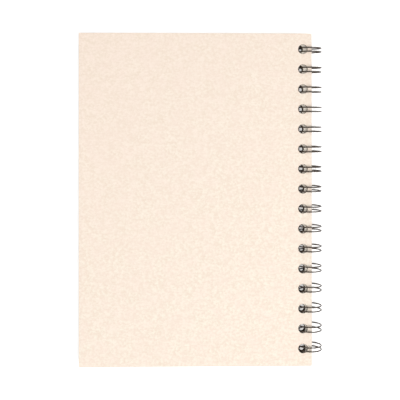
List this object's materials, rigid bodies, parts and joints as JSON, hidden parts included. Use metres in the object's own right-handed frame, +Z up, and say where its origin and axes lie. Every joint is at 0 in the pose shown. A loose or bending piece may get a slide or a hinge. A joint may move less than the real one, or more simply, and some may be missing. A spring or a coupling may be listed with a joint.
{
  "type": "wire-bound notebook",
  "caption": "Blank wire-bound notebook lying flat: two plain boards and a block of loose leaves hung on a dark double-loop wire along one long edge; both covers swing open.",
  "frame": {"origin": "under the middle of the whole notebook, level with the lowest side of the wire loops", "axes": "+X towards the bound edge, +Y towards the head of the covers, +Z up out of the rear cover"},
  "size_m": [0.155, 0.2118, 0.0153],
  "materials": {
    "cover_board": "uncoated pale cream board",
    "leaves": "uncoated off-white paper",
    "binding_wire": "dark lacquered steel wire, satin"
  },
  "bodies": {
    "binding": {"wire_binding": "binding_wire", "page_block": "leaves"},
    "rear_cover": {"rear_cover": "cover_board"},
    "front_cover": {"front_cover": "cover_board"}
  },
  "joints": [
    {"name": "rear_cover_hinge", "type": "hinge", "parent": "binding", "child": "rear_cover", "pos_m": [0.07013, 0, 0.01009], "axis": [0, 1, 0], "range_deg": [0, 180]},
    {"name": "front_cover_hinge", "type": "hinge", "parent": "binding", "child": "front_cover", "pos_m": [0.07013, 0, 0.00519], "axis": [0, -1, 0], "range_deg": [0, 180]}
  ]
}
